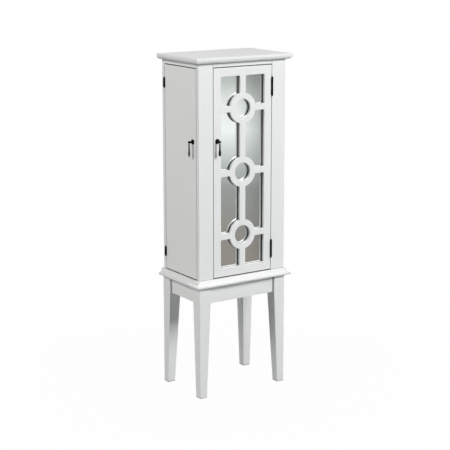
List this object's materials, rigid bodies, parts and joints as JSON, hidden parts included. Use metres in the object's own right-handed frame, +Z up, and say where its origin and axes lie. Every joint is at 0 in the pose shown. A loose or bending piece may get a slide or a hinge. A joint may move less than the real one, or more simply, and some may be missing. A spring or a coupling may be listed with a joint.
{
  "type": "jewelry mirror cabinet",
  "caption": "Slim painted jewelry cabinet on a tapered-leg stand: fretwork mirror door in front, a flat door on each side, hooks, shelves and a ring tray inside.",
  "frame": {"origin": "on the floor, under the middle of the whole cabinet's box", "axes": "+Z up, -Y out of the front door, +X to the right as seen from the front"},
  "size_m": [0.426, 0.279, 1.277],
  "materials": {
    "white_paint": "satin white lacquer over solid wood and MDF",
    "dark_bronze": "oil-rubbed bronze, satin",
    "mirror_glass": "silvered glass",
    "backing_board": "hardboard",
    "bare_wood": "bare poplar",
    "grey_velvet": "short-pile velvet",
    "satin_brass": "satin",
    "steel": "zinc plated",
    "catch_plastic": "moulded white plastic"
  },
  "bodies": {
    "cabinet": {"front_left_leg": "white_paint", "front_right_leg": "white_paint", "rear_right_leg": "white_paint", "rear_left_leg": "white_paint", "front_apron": "white_paint", "rear_apron": "white_paint", "left_apron": "white_paint", "right_apron": "white_paint", "corner_blocks": "bare_wood", "base_plate": "white_paint", "top_panel": "white_paint", "left_front_stile": "white_paint", "right_front_stile": "white_paint", "left_rear_post": "white_paint", "right_rear_post": "white_paint", "front_top_rail": "white_paint", "left_top_rail": "white_paint", "right_top_rail": "white_paint", "back_panel": "white_paint", "left_partition": "white_paint", "right_partition": "white_paint", "shelf_1": "white_paint", "shelf_2": "white_paint", "shelf_3": "white_paint", "shelf_4": "white_paint", "shelf_lips": "white_paint", "ring_tray": "white_paint", "ring_rolls": "grey_velvet", "left_hook_rail": "white_paint", "right_hook_rail": "white_paint", "left_necklace_hooks": "satin_brass", "right_necklace_hooks": "satin_brass", "front_catch": "catch_plastic", "left_catch": "catch_plastic", "right_catch": "catch_plastic", "front_hinge_frame_leaves": "dark_bronze", "left_hinge_frame_leaves": "dark_bronze", "right_hinge_frame_leaves": "dark_bronze", "front_hinge_pins": "dark_bronze", "left_hinge_pins": "dark_bronze", "right_hinge_pins": "dark_bronze"},
    "front_door": {"front_door_frame": "white_paint", "front_mirror": "mirror_glass", "mirror_backing": "backing_board", "mirror_clips": "steel", "front_hinge_door_leaves": "dark_bronze", "front_strike": "steel", "front_pull_post": "dark_bronze"},
    "left_door": {"left_door_panel": "white_paint", "left_hinge_door_leaves": "dark_bronze", "left_strike": "steel", "left_pull_post": "dark_bronze"},
    "right_door": {"right_door_panel": "white_paint", "right_hinge_door_leaves": "dark_bronze", "right_strike": "steel", "right_pull_post": "dark_bronze"},
    "front_drop": {"front_pull_drop": "dark_bronze"},
    "left_drop": {"left_pull_drop": "dark_bronze"},
    "right_drop": {"right_pull_drop": "dark_bronze"}
  },
  "joints": [
    {"name": "front_door_hinge", "type": "hinge", "parent": "cabinet", "child": "front_door", "pos_m": [0.1299, -0.122, 0.4565], "axis": [0, 0, 1], "range_deg": [0, 120]},
    {"name": "left_door_hinge", "type": "hinge", "parent": "cabinet", "child": "left_door", "pos_m": [-0.1955, 0.1149, 0.4565], "axis": [0, 0, -1], "range_deg": [0, 110]},
    {"name": "right_door_hinge", "type": "hinge", "parent": "cabinet", "child": "right_door", "pos_m": [0.1955, 0.1149, 0.4565], "axis": [0, 0, 1], "range_deg": [0, 110]},
    {"name": "front_pull_swing", "type": "hinge", "parent": "front_door", "child": "front_drop", "pos_m": [-0.11255, -0.135, 0.972], "axis": [-1, 0, 0], "range_deg": [-12, 85]},
    {"name": "left_pull_swing", "type": "hinge", "parent": "left_door", "child": "left_drop", "pos_m": [-0.2085, -0.0778, 0.972], "axis": [0, 1, 0], "range_deg": [-12, 85]},
    {"name": "right_pull_swing", "type": "hinge", "parent": "right_door", "child": "right_drop", "pos_m": [0.2085, -0.0778, 0.972], "axis": [0, -1, 0], "range_deg": [-12, 85]}
  ]
}
